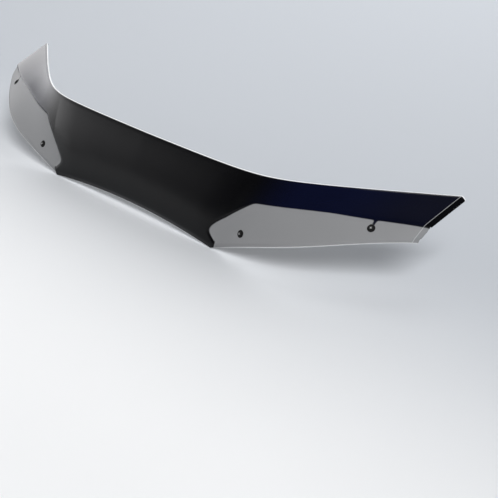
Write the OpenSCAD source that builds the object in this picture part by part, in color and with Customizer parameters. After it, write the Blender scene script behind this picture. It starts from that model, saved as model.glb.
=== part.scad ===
/* [Shield] */

// Width over the two end lips, mm
overall_w = 1389; // [1200:1:1600]
// Distance between the two front corners of the top rim, mm
nose_w = 750; // [640:2:840]
// Distance between the two lowest points, under the corners, mm
tip_w = 540; // [460:2:600]
// How far the rim runs back for each mm outward along a wing
sweep = 0.69; // [0.55:0.01:0.85]
// Softness of the front corners of the rim, mm
corner_r = 80; // [50:1:120]
// Height of the nose band in the middle, mm
nose_h = 147; // [110:1:180]
// How much lower the corner tips reach than the middle, mm
tip_drop = 14; // [6:1:24]
// How far the lower edge stands in front of the rim, mm
nose_d = 54; // [40:1:70]
// Height of the shield at its two ends, mm
wing_h = 58; // [50:1:70]
// Thickness of the moulded sheet, mm
sheet_t = 3; // [2.5:0.1:4]
// Outward crown of the nose band, mm
crown = 14; // [6:0.5:20]
// Height of the soft bend between a wing's flange and its fin, mm
bend = 12; // [6:0.5:16]
// Width of the turned-back lip at each end, mm
lip_w = 14; // [10:0.5:18]
// Angle the end lip turns back, degrees
lip_a = 38; // [20:1:50]

/* [Mounting field] */

// Depth the flat mounting field is set back, mm
field_in = 3; // [1.5:0.1:4]
// Height of the field at its peak, up the sheet, mm
field_h = 94; // [84:1:100]
// Distance of the field's peak outside the corner, mm
field_at = 45; // [38:1:54]
// Distance of each inner screw outside the corner, mm
screw_a = 55; // [50:1:75]
// Height of each inner screw above the lower edge, as a share of the sheet's
screw_av = 0.193; // [0.18:0.001:0.24]
// Distance of each outer screw from the end bend, mm
screw_b = 71; // [60:1:90]
// Height of each outer screw above the lower edge, as a share of the sheet's
screw_bv = 0.241; // [0.22:0.001:0.28]

/* [Fasteners] */

// Thread size of the screws, mm
screw_d = 4; // [4:0.5:5]
// Diameter of the screw heads, mm
head_d = 8; // [7:0.1:9]
// Diameter of the washers and rubber spacers, mm
washer_d = 14; // [13:0.1:16]
// Thickness of a washer, mm
washer_t = 1.2; // [0.8:0.1:1.6]
// Thickness of a rubber spacer, mm
spacer_t = 4; // [3:0.1:6]
// Width of a clip, mm
clip_w = 24; // [20:0.5:30]
// Length of a clip's leaves above its screw, mm
clip_l = 24; // [20:0.5:30]
// Thickness of the clip's spring strip, mm
clip_t = 1.2; // [1:0.1:1.5]
// Gap in a clip that grips the bonnet's edge, mm
throat = 3; // [2.5:0.1:4]

/* [Rubber buffers] */

// Diameter of a buffer, mm
pad_d = 18; // [14:0.5:22]
// Height of a buffer, mm
pad_h = 8; // [6:0.5:10]
// Height of the buffers up the sheet, as a share
pad_v = 0.78; // [0.74:0.01:0.82]

/* [Hidden] */

$fn = 48;

half = overall_w / 2 - lip_w * (cos(lip_a) / norm([1, sweep]) - 0.3 * sin(lip_a));
tip_x = tip_w / 2;
tip_u = tip_x * 1.24;
end_x = half - 12;
field_x = tip_u + field_at;
knee = half - 154;
seat_in = 0.6;
seat_d = washer_d + 2;
play = 0.1;

// the screws and buffers, each as [place across, share of the height]
screws = [[screw_b - half, screw_bv], [-tip_u - screw_a, screw_av],
          [tip_u + screw_a, screw_av], [half - screw_b, screw_bv]];
pads = concat([for (k = [-3:3]) [k * half * 0.31, pad_v]],
              [for (k = [-1, 1]) [k * tip_x / 2, 0.16]]);

// Plan curves. A bow is flat in the middle and turns into a straight slope past b.
function bow(x, m, b, r) = m / 2 * (x - b + sqrt((x - b)^2 + r^2) + b - sqrt(b^2 + r^2));
function ease(t) = let (c = min(1, max(0, t))) c * c * (3 - 2 * c);
function lesser(a, b, k) = (a + b - sqrt((a - b)^2 + k^2)) / 2;
function greater(a, b, k) = (a + b + sqrt((a - b)^2 + k^2)) / 2;
function unit(v) = v / norm(v);

function rim_y(a) = bow(a, sweep, nose_w / 2, corner_r);
function wing_y(x) = bow(x, sweep + 0.16, nose_w * 2 / 3, corner_r + 20) - nose_d - 11;
function wing_z(x) =
  -wing_h - (nose_h + tip_drop - wing_h) * max(0, (end_x - x) / (end_x - tip_x))^1.5;

// Upper edge and lower edge at the place u across, with the ends at -half and half
function rim(u) = [u, rim_y(abs(u)), 0];
function lower(u) =
  let (a = abs(u), s = u < 0 ? -1 : 1)
  a < tip_u
    ? let (x = a / 1.24, q = (x / tip_x)^2)
      [s * x, -nose_d + (wing_y(tip_x) + nose_d) * q, -nose_h - tip_drop * q]
    : let (x = tip_x + (a - tip_u) * (end_x - tip_x) / (half - tip_u))
      [s * x, wing_y(x), wing_z(x)];

// The mounting field on a wing: how far inside its outline a point lies, mm.
// q is the height up the sheet.
function field_top(a) =
  lesser(field_h - 0.097 * (a - field_x), field_h * 0.84 - 0.29 * (a - knee), 6);
function in_field(a, q) =
  let (front = (field_h + 0.72 * (a - field_x) - q) * 0.81,
       toe = greater(a - tip_u - 8, q - 16 - 0.19 * (tip_u - a), 6))
  lesser(field_top(a) - q, lesser(front, toe, 26) + 3.5, 3);

// How far a point of the sheet stands out from the straight line between its two edges
function bulge(a, v) =
  let (w = ease((a - nose_w / 3) / nose_w * 5),
       b = min(0.6, max(0.2, field_top(a) / 150)),
       fold = bend * lesser(v / b, (1 - v) / (1 - b), 0.25),
       roll = 2.5 * (1 - ease(v / 0.06)) + 1.5 * (1 - ease((1 - v) / 0.05)))
  crown * 4 * v * (1 - v) * (1 - w) + fold * w - roll
    - field_in * ease((in_field(a, v * 150) + 5) / 10);

function face(u, v) =
  let (low = lower(u), up = rim(u), c = up - low, a = abs(u),
       m = rim_y(a + 1) - rim_y(abs(a - 1)), k = sqrt(4 + m * m),
       h = norm([c.y, c.z]), out = c.z / h,
       n = [(u < 0 ? -1 : 1) * m / k * out, -2 / k * out, c.y / h])
  low + c * v + n * bulge(a, v);

// Outer skin, with the end lips turned back and their upper corners rounded
function flat_n(u, v) =
  unit(cross(face(u + 0.5, v) - face(u - 0.5, v), face(u, v + 0.01) - face(u, v - 0.01)));
function skin(u, v) =
  let (s = max(0, abs(u) - half), e = (u < 0 ? -1 : 1) * half,
       w = v * (1 - 0.06 * (1 - sqrt(max(0, 1 - (s / lip_w)^2)))))
  s == 0 ? face(u, v)
    : let (n = flat_n(e, w), t = cross([0, 0, 1], n), d = (u < 0 ? -1 : 1) * unit(t))
      face(e, w) + (d * cos(lip_a) - n * sin(lip_a)) * s;
function normal(u, v) =
  unit(cross(skin(u + 0.5, v) - skin(u - 0.5, v), skin(u, v + 0.01) - skin(u, v - 0.01)));

// Grid of the loft. Columns are closer on the wings. On a wing the middle row follows the
// top of the field, and rows are closer there and near the two long edges.
across = 60;
up_n = 9;
function col(i) =
  i > across ? half + lip_w * (i - across) / 2 : half * (i / across)^0.75;
cols = [for (i = [-across - 2:across + 2]) (i < 0 ? -1 : 1) * col(abs(i))];
function row(a, j) =
  let (w = ease((a - tip_u) / 60 + 1),
       b = 0.5 * (1 - w) + w * min(0.64, max(0.2, field_top(a) / 150)),
       t = (j % up_n) / up_n, s = t - 0.09 * sin(360 * t))
  j < up_n ? b * s : j < 2 * up_n ? b + (1 - b) * s : 1;

module sheet() {
  nc = len(cols);
  nr = 2 * up_n + 1;
  spots = [for (u = cols) for (j = [0:nr - 1]) [u, row(min(half, abs(u)), j)]];
  outer = [for (s = spots) skin(s[0], s[1])];
  inner = [for (s = spots) skin(s[0], s[1]) - normal(s[0], s[1]) * sheet_t];
  n = nc * nr;
  function at(i, j) = i * nr + j;
  polyhedron(points = concat(outer, inner), convexity = 8, faces = concat(
    [for (i = [0:nc - 2]) for (j = [0:nr - 2]) each [
      [at(i, j), at(i, j + 1), at(i + 1, j + 1)], [at(i, j), at(i + 1, j + 1), at(i + 1, j)],
      [n + at(i, j), n + at(i + 1, j + 1), n + at(i, j + 1)],
      [n + at(i, j), n + at(i + 1, j), n + at(i + 1, j + 1)]]],
    [for (i = [0:nc - 2]) for (j = [0, nr - 1]) let (a = at(i, j), b = at(i + 1, j))
      each j == 0 ? [[a, b, n + b], [a, n + b, n + a]] : [[a, n + b, b], [a, n + a, n + b]]],
    [for (j = [0:nr - 2]) for (i = [0, nc - 1]) let (a = at(i, j), b = at(i, j + 1))
      each i == 0 ? [[a, n + b, b], [a, n + a, n + b]] : [[a, b, n + b], [a, n + b, n + a]]]));
}

// Everything below is placed on the sheet: z points out of it, y runs up it.
module on_sheet(spot) {
  n = normal(spot[0], spot[1]);
  x = unit(cross(face(spot[0], spot[1] + 0.01) - face(spot[0], spot[1] - 0.01), n));
  y = cross(n, x);
  p = face(spot[0], spot[1]);
  multmatrix([[x.x, y.x, n.x, p.x], [x.y, y.y, n.y, p.y], [x.z, y.z, n.z, p.z], [0, 0, 0, 1]])
    children();
}

// The origin is where the middle buffer rests on the bonnet
back = sheet_t + seat_in;
origin = face(0, pad_v) - normal(0, pad_v) * (back + pad_h);
module in_frame() translate(-origin) children();

module shield() color([0.05, 0.05, 0.06]) in_frame() difference() {
  union() {
    sheet();
    for (s = screws) on_sheet(s) translate([0, 0, -back]) cylinder(d = seat_d, h = back - 1);
    for (p = pads) on_sheet(p) translate([0, 0, -back]) cylinder(d = pad_d + 2, h = back - 1);
  }
  for (s = screws) on_sheet(s) {
    translate([0, 0, -seat_in]) cylinder(d = seat_d, h = 3);
    translate([0, 0, -back - 1]) cylinder(d = screw_d + 1.5, h = back + 2);
  }
}

// Screw with a flat-bottomed round head and a cross recess
head_z = washer_t - seat_in;
head_t = 2.8;
nut_t = 3.2;
clip_z = -back - spacer_t;
shank = head_z - clip_z + 2 * clip_t + throat + nut_t + 1.5;
module screw(k) color([0.1, 0.1, 0.11]) in_frame() on_sheet(screws[k]) difference() {
  rotate_extrude() polygon([[0, head_z + head_t], [head_d * 0.3, head_z + head_t],
    [head_d * 0.44, head_z + head_t * 0.7], [head_d / 2, head_z + head_t * 0.3],
    [head_d / 2, head_z], [screw_d / 2 - play, head_z],
    [screw_d / 2 - play, head_z - shank + 1], [screw_d / 2 - 0.8, head_z - shank],
    [0, head_z - shank]]);
  for (a = [0, 90]) rotate(a) translate([-head_d * 0.28, -0.5, head_z + head_t - 1.6])
    cube([head_d * 0.56, 1, 2]);
}

module ring(od, id, h) difference() {
  cylinder(d = od, h = h);
  translate([0, 0, -1]) cylinder(d = id, h = h + 2);
}

module washer(k) color([0.12, 0.12, 0.12]) in_frame() on_sheet(screws[k])
  translate([0, 0, -seat_in]) ring(washer_d, screw_d + 0.4, washer_t);

module spacer(k) color([0.09, 0.09, 0.09]) in_frame() on_sheet(screws[k])
  translate([0, 0, clip_z]) ring(washer_d, screw_d + 0.4, spacer_t);

// Spring clip: two leaves joined by a round bend below, open upward for the bonnet's edge
module clip(k) color([0.3, 0.3, 0.32]) in_frame() on_sheet(screws[k]) {
  leaf = clip_l + 8;
  r = throat / 2;
  difference() {
    union() {
      for (z = [-clip_t, -2 * clip_t - throat]) translate([-clip_w / 2, -8, clip_z + z])
        cube([clip_w, leaf, clip_t]);
      translate([0, -8, clip_z - clip_t - r]) rotate([0, 90, 0]) difference() {
        cylinder(r = r + clip_t, h = clip_w, center = true);
        cylinder(r = r, h = clip_w + 2, center = true);
        translate([0, r + clip_t, 0]) cube([4 * r + 4 * clip_t, 2 * r + 2 * clip_t, clip_w + 4],
          center = true);
      }
      translate([-clip_w / 2, leaf - 8 - clip_t, clip_z - 2 * clip_t - throat]) rotate([-35, 0, 0])
        cube([clip_w, 6, clip_t]);
    }
    translate([0, 0, clip_z - 2 * clip_t - throat - 1])
      cylinder(d = screw_d + 0.4, h = throat + 2 * clip_t + 2);
  }
}

module nut(k) color([0.55, 0.55, 0.57]) in_frame() on_sheet(screws[k])
  translate([0, 0, clip_z - 2 * clip_t - throat - nut_t]) difference() {
    cylinder(d = screw_d * 2, h = nut_t, $fn = 6);
    translate([0, 0, -1]) cylinder(d = screw_d, h = nut_t + 2);
  }

// Rubber buffer with a rounded foot and a flat face that rests on the bonnet
module buffer(k) color([0.08, 0.08, 0.08]) in_frame() on_sheet(pads[k])
  translate([0, 0, -back - pad_h]) rotate_extrude() polygon([[0, 0], [pad_d / 2 - 2.5, 0],
    for (a = [0:15:90]) [pad_d / 2 - 2.5 + 1.5 * sin(a), 1.5 - 1.5 * cos(a)],
    [pad_d / 2, pad_h], [0, pad_h]]);

shield();
screw(0);  // screw_1
screw(1);  // screw_2
screw(2);  // screw_3
screw(3);  // screw_4
washer(0);  // washer_1
washer(1);  // washer_2
washer(2);  // washer_3
washer(3);  // washer_4
spacer(0);  // spacer_1
spacer(1);  // spacer_2
spacer(2);  // spacer_3
spacer(3);  // spacer_4
clip(0);  // clip_1
clip(1);  // clip_2
clip(2);  // clip_3
clip(3);  // clip_4
nut(0);  // nut_1
nut(1);  // nut_2
nut(2);  // nut_3
nut(3);  // nut_4
buffer(0);  // buffer_1
buffer(1);  // buffer_2
buffer(2);  // buffer_3
buffer(3);  // buffer_4
buffer(4);  // buffer_5
buffer(5);  // buffer_6
buffer(6);  // buffer_7
buffer(7);  // buffer_8
buffer(8);  // buffer_9
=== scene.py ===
import math

import bpy
import bmesh
import numpy as np
from mathutils import Matrix, Vector


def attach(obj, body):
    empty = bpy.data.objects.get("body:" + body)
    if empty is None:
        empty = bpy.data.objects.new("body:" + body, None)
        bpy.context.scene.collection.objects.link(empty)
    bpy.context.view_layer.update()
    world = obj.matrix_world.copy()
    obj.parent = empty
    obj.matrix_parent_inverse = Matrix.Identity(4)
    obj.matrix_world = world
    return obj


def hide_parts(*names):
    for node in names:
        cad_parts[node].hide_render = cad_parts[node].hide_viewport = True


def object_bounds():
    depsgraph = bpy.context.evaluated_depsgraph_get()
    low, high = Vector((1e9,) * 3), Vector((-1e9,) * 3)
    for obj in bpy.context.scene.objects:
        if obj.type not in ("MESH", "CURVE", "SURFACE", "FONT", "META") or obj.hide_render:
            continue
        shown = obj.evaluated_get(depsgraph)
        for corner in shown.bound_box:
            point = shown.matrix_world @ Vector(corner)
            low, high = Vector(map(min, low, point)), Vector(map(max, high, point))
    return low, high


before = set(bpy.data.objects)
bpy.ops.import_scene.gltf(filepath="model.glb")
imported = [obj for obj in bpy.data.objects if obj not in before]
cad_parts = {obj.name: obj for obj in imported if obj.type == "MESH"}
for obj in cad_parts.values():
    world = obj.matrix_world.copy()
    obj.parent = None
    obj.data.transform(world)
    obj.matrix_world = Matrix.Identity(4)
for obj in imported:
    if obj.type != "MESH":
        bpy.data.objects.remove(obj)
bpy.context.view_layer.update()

# Shape of the shield, in millimetres, with the same sizes as the part's source
OVERALL_W, NOSE_W, TIP_W = 1389, 750, 540
SWEEP, CORNER_R = 0.69, 80
NOSE_H, TIP_DROP, NOSE_D, WING_H = 147, 14, 54, 58
SHEET_T, CROWN, BEND = 3, 14, 12
LIP_W, LIP_A = 14, math.radians(38)
FIELD_IN, FIELD_H = 3, 94
BAND_H = 150
SEAT_IN, SEAT_D, HOLE_D = 0.6, 16, 5.5
WASHER_T, HEAD_H = 1.2, 2.8
PAD_V, PAD_D, PAD_H = 0.78, 18, 8
HALF = OVERALL_W / 2 - LIP_W * (math.cos(LIP_A) / math.hypot(1, SWEEP) - 0.3 * math.sin(LIP_A))
TIP_X = TIP_W / 2
TIP_U = TIP_X * 1.24
END_X = HALF - 12
FIELD_X, KNEE = TIP_U + 45, HALF - 154
SCREWS = [(71 - HALF, 0.241), (-TIP_U - 55, 0.193), (TIP_U + 55, 0.193), (HALF - 71, 0.241)]
BACK = SHEET_T + SEAT_IN
PADS = [(k * HALF * 0.31, PAD_V) for k in range(-3, 4)] + [(-TIP_X / 2, 0.16), (TIP_X / 2, 0.16)]
MM = 0.001

# Dark neck that joins each outer screw to the field's upper edge
NECK_W, NECK_RISE, NECK_LEAN = 4, 26, 6

# Where the wings' painted blue sky reflection sets in and where it grows weaker again, from the middle
REFLECTION_FROM, REFLECTION_FULL, REFLECTION_FADE, REFLECTION_WEAK = 340, 450, 520, 670

# How strongly the painted highlight line shows at the upper edge, the lower edge and the end bends
HIGHLIGHT_TOP, HIGHLIGHT_FOOT, HIGHLIGHT_BEND = 1, 0.7, 0.28

# Cross recess in a screw's head: radius, and depths where it starts and ends
RECESS_R, RECESS_FROM, RECESS_TO = 2.3, 0.1, 1.7

# Finer grid than the CAD's, so that reflections run smoothly
ACROSS, UP = 300, 64

# Where the photograph was taken from, in metres
CAMERA_AT = (2.2120, -1.6498, 1.0785)
CAMERA_TURN, CAMERA_DOWN, CAMERA_ROLL = 48.686, 25.663, -1.287
PHOTO_PX, FOCAL_PX = 498, 1380.2


# Plan curves and blends of the loft
def bow(x, m, b, r):
    return m / 2 * (x - b + np.sqrt((x - b) ** 2 + r * r) + b - math.sqrt(b * b + r * r))


def ease(t):
    c = np.clip(t, 0, 1)
    return c * c * (3 - 2 * c)


def lesser(a, b, k):
    return (a + b - np.sqrt((a - b) ** 2 + k * k)) / 2


def greater(a, b, k):
    return (a + b + np.sqrt((a - b) ** 2 + k * k)) / 2


def unit(v):
    return v / np.linalg.norm(v, axis=-1, keepdims=True)


def rim_y(a):
    return bow(a, SWEEP, NOSE_W / 2, CORNER_R)


def wing_y(x):
    return bow(x, SWEEP + 0.16, NOSE_W * 2 / 3, CORNER_R + 20) - NOSE_D - 11


def wing_z(x):
    rest = np.maximum(0, (END_X - x) / (END_X - TIP_X))
    return -WING_H - (NOSE_H + TIP_DROP - WING_H) * rest**1.5


def lower(u):
    a, side = np.abs(u), np.where(u < 0, -1, 1)
    near, far = a / 1.24, TIP_X + (a - TIP_U) * (END_X - TIP_X) / (HALF - TIP_U)
    q = (near / TIP_X) ** 2
    nose = a < TIP_U
    return np.stack([side * np.where(nose, near, far),
                     np.where(nose, (wing_y(TIP_X) + NOSE_D) * q - NOSE_D, wing_y(far)),
                     np.where(nose, -NOSE_H - TIP_DROP * q, wing_z(np.maximum(far, TIP_X)))], -1)


def field_top(a):
    return lesser(FIELD_H - 0.097 * (a - FIELD_X), FIELD_H * 0.84 - 0.29 * (a - KNEE), 6)


def in_field(a, q):
    front = (FIELD_H + 0.72 * (a - FIELD_X) - q) * 0.81
    toe = greater(a - TIP_U - 8, q - 16 - 0.19 * (TIP_U - a), 6)
    return lesser(field_top(a) - q, lesser(front, toe, 26) + 3.5, 3)


def grey_reflection_field(a, q):
    """The field's painted grey reflection leaves out a dark neck from its edge down to each outer
    screw.
    """
    x, y = SCREWS[-1][0], SCREWS[-1][1] * BAND_H
    t = np.clip((q - y) / NECK_RISE, 0, 1)
    neck = np.hypot(a - x + NECK_LEAN * t, q - y - NECK_RISE * t) - NECK_W / 2
    return lesser(in_field(a, q), neck, 2)


def bulge(a, v):
    w = ease((a - NOSE_W / 3) / NOSE_W * 5)
    b = np.clip(field_top(a) / BAND_H, 0.2, 0.6)
    fold = BEND * lesser(v / b, (1 - v) / (1 - b), 0.25)
    roll = 2.5 * (1 - ease(v / 0.06)) + 1.5 * (1 - ease((1 - v) / 0.05))
    step = FIELD_IN * ease((in_field(a, v * BAND_H) + 5) / 10)
    return CROWN * 4 * v * (1 - v) * (1 - w) + fold * w - roll - step


def face(u, v):
    u, v = np.broadcast_arrays(np.asarray(u, float), np.asarray(v, float))
    a = np.abs(u)
    low = lower(u)
    chord = np.stack([u, rim_y(a), 0 * u], -1) - low
    m = rim_y(a + 1) - rim_y(np.abs(a - 1))
    k = np.sqrt(4 + m * m)
    h = np.hypot(chord[..., 1], chord[..., 2])
    out = chord[..., 2] / h
    n = np.stack([np.where(u < 0, -1, 1) * m / k * out, -2 / k * out, chord[..., 1] / h], -1)
    return low + chord * v[..., None] + n * bulge(a, v)[..., None]


def slope(f, u, v):
    return unit(np.cross(f(u + 0.5, v) - f(u - 0.5, v), f(u, v + 0.01) - f(u, v - 0.01)))


def skin(u, v):
    u, v = np.broadcast_arrays(np.asarray(u, float), np.asarray(v, float))
    s, side = np.maximum(0, np.abs(u) - HALF), np.where(u < 0, -1, 1)
    w = v * (1 - 0.06 * (1 - np.sqrt(np.maximum(0, 1 - (s / LIP_W) ** 2))))
    n = slope(face, side * HALF, w)
    d = side[..., None] * unit(np.cross(np.array([0, 0, 1.0]), n))
    lip = face(side * HALF, w) + (d * math.cos(LIP_A) - n * math.sin(LIP_A)) * s[..., None]
    return np.where((s == 0)[..., None], face(u, v), lip)


ORIGIN = face(0, PAD_V) - slope(skin, 0, PAD_V) * (BACK + PAD_H)


def on_sheet(u, v):
    """Matrix that puts things on the sheet: z points out of it, y runs up it."""
    n = slope(skin, u, v)
    x = unit(np.cross(face(u, v + 0.01) - face(u, v - 0.01), n))
    m = Matrix.Identity(4)
    for i, axis in enumerate((x, np.cross(n, x), n)):
        m.col[i] = (*axis, 0)
    m.col[3] = (*((face(u, v) - ORIGIN) * MM), 1)
    return m


# Shader expressions: one class wraps a socket, so that node maths reads as Python
class Expr:
    def __init__(self, tree, socket):
        self.tree, self.socket = tree, socket

    def node(self, kind, out=0, inputs=None, **settings):
        n = self.tree.nodes.new(kind)
        for k, v in settings.items():
            setattr(n, k, v)
        for k, v in (inputs or {}).items():
            if isinstance(v, Expr):
                self.tree.links.new(v.socket, n.inputs[k])
            else:
                n.inputs[k].default_value = v
        return Expr(self.tree, n.outputs[out])

    def math(self, op, other):
        return self.node("ShaderNodeMath", operation=op, inputs={0: self, 1: other})

    def __add__(self, o):
        return self.math("ADD", o)

    def __sub__(self, o):
        return self.math("SUBTRACT", o)

    def __mul__(self, o):
        return self.math("MULTIPLY", o)

    def __truediv__(self, o):
        return self.math("DIVIDE", o)

    def __rsub__(self, o):
        return self * -1 + o

    __radd__, __rmul__ = __add__, __mul__

    def step(self, low, high):
        """Smooth rise from 0 at low to 1 at high."""
        return self.node("ShaderNodeMapRange", interpolation_type="SMOOTHSTEP",
                         inputs={0: self, 1: low, 2: high, 3: 0.0, 4: 1.0})

    def mix(self, a, b):
        """The colours a and b, mixed by this value."""
        return self.node("ShaderNodeMix", out=2, data_type="RGBA", inputs={0: self, 6: a, 7: b})


def material(name, **plain):
    m = bpy.data.materials.new(name)
    m.use_nodes = True
    shader = m.node_tree.nodes["Principled BSDF"]
    for k, v in plain.items():
        shader.inputs[k.replace("_", " ")].default_value = v
    start = Expr(m.node_tree, None)
    return m, shader, start


def feed(shader, key, expr):
    shader.id_data.links.new(expr.socket, shader.inputs[key])


def speckle(start, scale, detail=3.0):
    at = start.node("ShaderNodeTexCoord", out=3)
    return start.node("ShaderNodeTexNoise",
                      inputs={"Vector": at, "Scale": scale, "Detail": detail, "Roughness": 0.5})


def bump(start, height, distance, strength):
    return start.node("ShaderNodeBump",
                      inputs={"Height": height, "Distance": distance, "Strength": strength})


def acrylic():
    m, shader, s = material("smoked_acrylic", Specular_IOR_Level=0.17, IOR=1.49)
    field = s.node("ShaderNodeAttribute", out=2, attribute_name="field").step(-0.9, 0.9)
    edge_highlight = s.node("ShaderNodeAttribute", out=2, attribute_name="edge_highlight")
    sky_reflection = s.node("ShaderNodeAttribute", out=2, attribute_name="sky_reflection")
    dust = speckle(s, 900.0, 2.0).step(0.62, 0.8)
    haze = speckle(s, 6.0, 2.0)
    dark = haze.mix((0.0004, 0.0004, 0.0008, 1), (0.0007, 0.0007, 0.0014, 1))
    # Navy is a painted sky reflection on the wings
    navy_reflection = haze.mix((0.0006, 0.0014, 0.011, 1), (0.0012, 0.0026, 0.017, 1))
    # The field's grey is a painted reflection of bright surroundings
    grey = haze.mix((0.235, 0.237, 0.242, 1), (0.262, 0.264, 0.27, 1))
    whole = field.mix(sky_reflection.mix(dark, navy_reflection), grey)
    # Near-white painted highlight line along the upper edge, the lower edge and the end bends
    feed(shader, "Base Color", edge_highlight.mix(whole, (0.95, 0.955, 0.96, 1)))
    feed(shader, "Roughness", field * 0.20 + dust * 0.03 + haze * 0.04 + 0.23)
    ripple = speckle(s, 14.0, 1.0)
    feed(shader, "Normal", bump(s, ripple, 0.0006, 0.35))
    return m


def trimmed_edge_highlight():
    m, shader, s = material("trimmed_edge_highlight", Specular_IOR_Level=0.3)
    saw = speckle(s, 500.0)
    # The sheet's cut edge is frosted and pale, and made lighter still as a painted highlight
    feed(shader, "Base Color", saw.mix((0.78, 0.79, 0.80, 1), (0.88, 0.89, 0.90, 1)))
    feed(shader, "Roughness", saw * 0.2 + 0.3)
    feed(shader, "Normal", bump(s, saw, 0.0002, 0.4))
    return m


def rubber(name, tone, gloss=0.5):
    m, shader, s = material(name, Specular_IOR_Level=gloss)
    grain = speckle(s, 1400.0)
    feed(shader, "Base Color", grain.mix((tone * 0.8,) * 3 + (1,), (tone * 1.3,) * 3 + (1,)))
    feed(shader, "Roughness", grain * 0.2 + 0.58)
    feed(shader, "Normal", bump(s, grain, 0.0002, 0.5))
    return m


def coated(name, tone, metallic, rough, gloss=0.5):
    m, shader, s = material(name, Metallic=metallic, Specular_IOR_Level=gloss)
    grain = speckle(s, 700.0)
    wear = speckle(s, 120.0).step(0.5, 0.75)
    low, high = (tone * 0.85,) * 3 + (1,), (tone * 1.2,) * 3 + (1,)
    feed(shader, "Base Color", grain.mix(low, high))
    feed(shader, "Roughness", wear * 0.12 + grain * 0.1 + rough)
    feed(shader, "Normal", bump(s, grain, 0.0001, 0.4))
    return m


# The shield: two skins joined at the borders, with the CAD's seats and holes
def cylinder(name, at, d, low, high):
    mesh = bmesh.new()
    bmesh.ops.create_cone(mesh, cap_ends=True, segments=64, radius1=d / 2 * MM, radius2=d / 2 * MM,
                          depth=(high - low) * MM)
    bmesh.ops.translate(mesh, verts=mesh.verts, vec=(0, 0, (low + high) / 2 * MM))
    bmesh.ops.transform(mesh, matrix=at, verts=mesh.verts)
    data = bpy.data.meshes.new(name)
    mesh.to_mesh(data)
    mesh.free()
    o = bpy.data.objects.new(name, data)
    bpy.context.collection.objects.link(o)
    return o


def cut(target, tools, operation):
    for tool in tools:
        m = target.modifiers.new("cut", "BOOLEAN")
        m.operation, m.solver, m.object = operation, "EXACT", tool
        with bpy.context.temp_override(object=target, active_object=target):
            bpy.ops.object.modifier_apply(modifier=m.name)
        bpy.data.objects.remove(tool)


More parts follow.
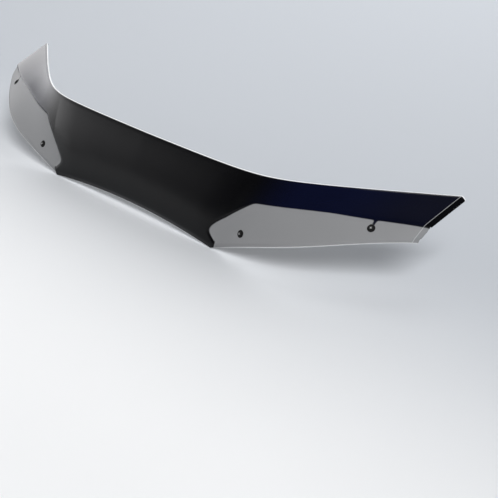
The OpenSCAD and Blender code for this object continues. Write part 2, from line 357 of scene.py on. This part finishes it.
def make_shield():
    t = np.arange(-ACROSS, ACROSS + 1) / ACROSS
    flat = HALF * (t + 0.03 * np.sin(2 * math.pi * t))
    lip = HALF + LIP_W * np.array([0.02, 0.1, 0.25, 0.5, 0.75, 0.9, 1])
    us = np.concatenate([-lip[::-1], flat[:1], [0.7 - HALF], flat[1:-1], [HALF - 0.7], flat[-1:], lip])
    t = np.arange(UP + 1) / UP
    vs = t - 0.09 * np.sin(2 * math.pi * t)
    outer = skin(us[:, None], vs[None])
    inner = outer - slope(skin, us[:, None], vs[None]) * SHEET_T
    nu, nv = len(us), len(vs)
    points = (np.concatenate([outer.reshape(-1, 3), inner.reshape(-1, 3)]) - ORIGIN) * MM
    at = lambda i, j: i * nv + j
    n = nu * nv
    faces = []
    for i in range(nu - 1):
        for j in range(nv - 1):
            a, b, c, d = at(i, j), at(i + 1, j), at(i + 1, j + 1), at(i, j + 1)
            faces += [(a, b, c, d), (n + d, n + c, n + b, n + a)]
        for j, turn in ((0, False), (nv - 1, True)):
            a, b = at(i, j), at(i + 1, j)
            faces.append((a, b, n + b, n + a) if turn else (n + a, n + b, b, a))
    for j in range(nv - 1):
        for i, turn in ((0, False), (nu - 1, True)):
            a, b = at(i, j), at(i, j + 1)
            faces.append((n + a, n + b, b, a) if turn else (a, b, n + b, n + a))
    mesh = bpy.data.meshes.new("shield_skin")
    mesh.from_pydata(points.tolist(), [], faces)
    mesh.polygons.foreach_set("material_index", [max(f) >= n > min(f) for f in faces])
    # The field attribute marks where the painted grey reflection goes
    inside = grey_reflection_field(np.minimum(np.abs(us), HALF)[:, None], vs[None] * BAND_H)
    values = np.concatenate([inside.ravel(), np.full(n, -50.0)])
    mesh.attributes.new("field", "FLOAT", "POINT").data.foreach_set("value", values)
    a = np.repeat(np.abs(us), nv)
    # Painted highlight lines along the upper and lower edges and on the end bends
    rim = np.tile(np.where(vs > 0.99, HIGHLIGHT_TOP, np.where(vs == 0, HIGHLIGHT_FOOT, 0)), nu)
    glint = np.maximum(rim, (np.abs(a - HALF) < 0.3) * HIGHLIGHT_BEND)
    # Painted blue sky reflection on the wings, rising outward from the middle and weaker towards the
    # ends, none on the end lips
    rise = ease((a - REFLECTION_FROM) / (REFLECTION_FULL - REFLECTION_FROM))
    fall = ease((a - REFLECTION_FADE) / (REFLECTION_WEAK - REFLECTION_FADE))
    for key, row in (("edge_highlight", glint), ("sky_reflection", rise * (1 - 0.5 * fall) * (a < HALF))):
        values = np.concatenate([row, 0 * row])
        mesh.attributes.new(key, "FLOAT", "POINT").data.foreach_set("value", values)
    o = bpy.data.objects.new("shield_skin", mesh)
    bpy.context.collection.objects.link(o)
    mesh.materials.append(acrylic())
    mesh.materials.append(trimmed_edge_highlight())
    mesh.materials.append(rubber("seat_black", 0.006, 0.1))
    bm = bmesh.new()
    bm.from_mesh(mesh)
    bmesh.ops.recalc_face_normals(bm, faces=bm.faces)
    bm.to_mesh(mesh)
    bm.free()
    seats = [cylinder("seat", on_sheet(*s), SEAT_D, -BACK, -1) for s in SCREWS]
    seats += [cylinder("seat", on_sheet(*s), PAD_D + 2, -BACK, -1) for s in PADS]
    cut(o, seats, "UNION")
    holes = [cylinder("sunk", on_sheet(*s), SEAT_D, -SEAT_IN, 3) for s in SCREWS]
    holes += [cylinder("hole", on_sheet(*s), HOLE_D, -BACK - 1, 1) for s in SCREWS]
    cut(o, holes, "DIFFERENCE")

    # The seats around the screws are black
    centres = np.empty(len(o.data.polygons) * 3)
    o.data.polygons.foreach_get("center", centres)
    kinds = np.empty(len(o.data.polygons), int)
    o.data.polygons.foreach_get("material_index", kinds)
    for s in SCREWS:
        turn = np.array(on_sheet(*s).inverted())
        x, y, z = turn[:3, :3] @ centres.reshape(-1, 3).T / MM + turn[:3, 3:] / MM
        kinds[(np.hypot(x, y) < SEAT_D / 2 + 0.01) & (np.abs(z) < 2)] = 2
    o.data.polygons.foreach_set("material_index", kinds)
    o.data.set_sharp_from_angle(angle=math.radians(32))
    for p in o.data.polygons:
        p.use_smooth = True
    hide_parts("shield")
    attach(o, "root")
    return o


shield = make_shield()

looks = {"screw": coated("black_screw", 0.01, 0, 0.3, 0.2),
         "washer": rubber("black_nylon", 0.008, 0.12),
         "spacer": rubber("soft_rubber", 0.022),
         "clip": coated("dark_spring_steel", 0.22, 0.8, 0.3),
         "nut": coated("zinc_plate", 0.5, 1.0, 0.25),
         "buffer": rubber("buffer_rubber", 0.02)}
# Bright steel for the screws' cross recesses, a painted highlight
recess_glint = coated("recess_glint_steel", 0.75, 0.3, 0.4)
head_top = WASHER_T - SEAT_IN + HEAD_H
for name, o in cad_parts.items():
    kind = name.rsplit("_", 1)[0]
    if kind in looks:
        o.data.materials.clear()
        o.data.materials.append(looks[kind])
    if kind == "screw":
        # Bright steel in the cross recess, a painted highlight
        o.data.materials.append(recess_glint)
        flat = on_sheet(*SCREWS[int(name[-1]) - 1]).inverted() @ o.matrix_world
        for p in o.data.polygons:
            c = flat @ p.center
            deep = RECESS_FROM < head_top - c.z / MM < RECESS_TO
            p.material_index = int(deep and math.hypot(c.x, c.y) < RECESS_R * MM)

# Floor under the lowest point
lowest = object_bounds()[0].z
bpy.ops.mesh.primitive_plane_add(size=60, location=(0, 0, lowest - 0.0005))
floor = bpy.context.object
floor.name = "floor"
m, shader, s = material("pale_floor", Roughness=0.9)
along = s.node("ShaderNodeSeparateXYZ", out=1, inputs={0: s.node("ShaderNodeTexCoord", out=3)})
near = speckle(s, 3.0).mix((0.85, 0.855, 0.86, 1), (0.88, 0.885, 0.89, 1))
feed(shader, "Base Color", along.step(-0.6, 0.35).mix(near, (0.47, 0.495, 0.53, 1)))
floor.data.materials.append(m)

# World: dim light, so that the gloss stays dark, and brighter low down at the left, for the
# soft fade on the far wing; the background seen behind the object is pale
world = bpy.data.worlds.new("sky")
bpy.context.scene.world = world
world.use_nodes = True
sky = world.node_tree.nodes["Background"]
s = Expr(world.node_tree, None)
way = s.node("ShaderNodeTexCoord", out=0)
left = s.node("ShaderNodeVectorMath", out=1, operation="DOT_PRODUCT",
              inputs={0: way, 1: (-0.93, 0.33, 0.15)})
back, up = (s.node("ShaderNodeSeparateXYZ", out=k, inputs={0: way}) for k in (1, 2))
low_left = left.step(0.35, 1.0) * (1 - up.step(0.25, 0.6))
light = low_left.mix((0.147, 0.152, 0.16, 1), (3.2, 3.2, 3.25, 1))
seen = back.step(-0.4, 0.4).mix((0.66, 0.68, 0.71, 1), (0.37, 0.39, 0.42, 1))
feed(sky, "Color", s.node("ShaderNodeLightPath", out=0).mix(light, seen))


def lamp(name, kind, energy, at, ahead):
    o = bpy.data.objects.new(name, bpy.data.lights.new(name, kind))
    bpy.context.collection.objects.link(o)
    o.data.energy = energy
    o.location = at
    o.rotation_euler = Vector(ahead).to_track_quat("-Z", "Y").to_euler()
    return o


lamp("sun", "SUN", 2.75, (0, 0, 0), (-0.66, 0.3, -0.75)).data.angle = math.radians(30)
lamp("fill", "AREA", 40, (-0.6, 2.6, 2.4), (0.6, -2.5, -2.4)).data.size = 2.0

# Camera as fitted to the photograph
turn, down, roll = (math.radians(v) for v in (CAMERA_TURN, CAMERA_DOWN, CAMERA_ROLL))
ahead = Vector((-math.sin(turn) * math.cos(down), math.cos(turn) * math.cos(down), -math.sin(down)))
right = Vector((math.cos(turn), math.sin(turn), 0))
above = right.cross(ahead)
side = right * math.cos(roll) + above * math.sin(roll)
top = above * math.cos(roll) - right * math.sin(roll)
camera = bpy.data.objects.new("camera", bpy.data.cameras.new("camera"))
bpy.context.collection.objects.link(camera)
place = Matrix.Identity(4)
for i, axis in enumerate((side, top, -ahead)):
    place.col[i] = (*axis, 0)
place.col[3] = (*CAMERA_AT, 1)
camera.matrix_world = place
camera.data.sensor_width = 36
camera.data.lens = FOCAL_PX / PHOTO_PX * 36
camera.data.clip_end = 100
bpy.context.scene.camera = camera
bpy.context.scene.view_settings.view_transform = "Standard"
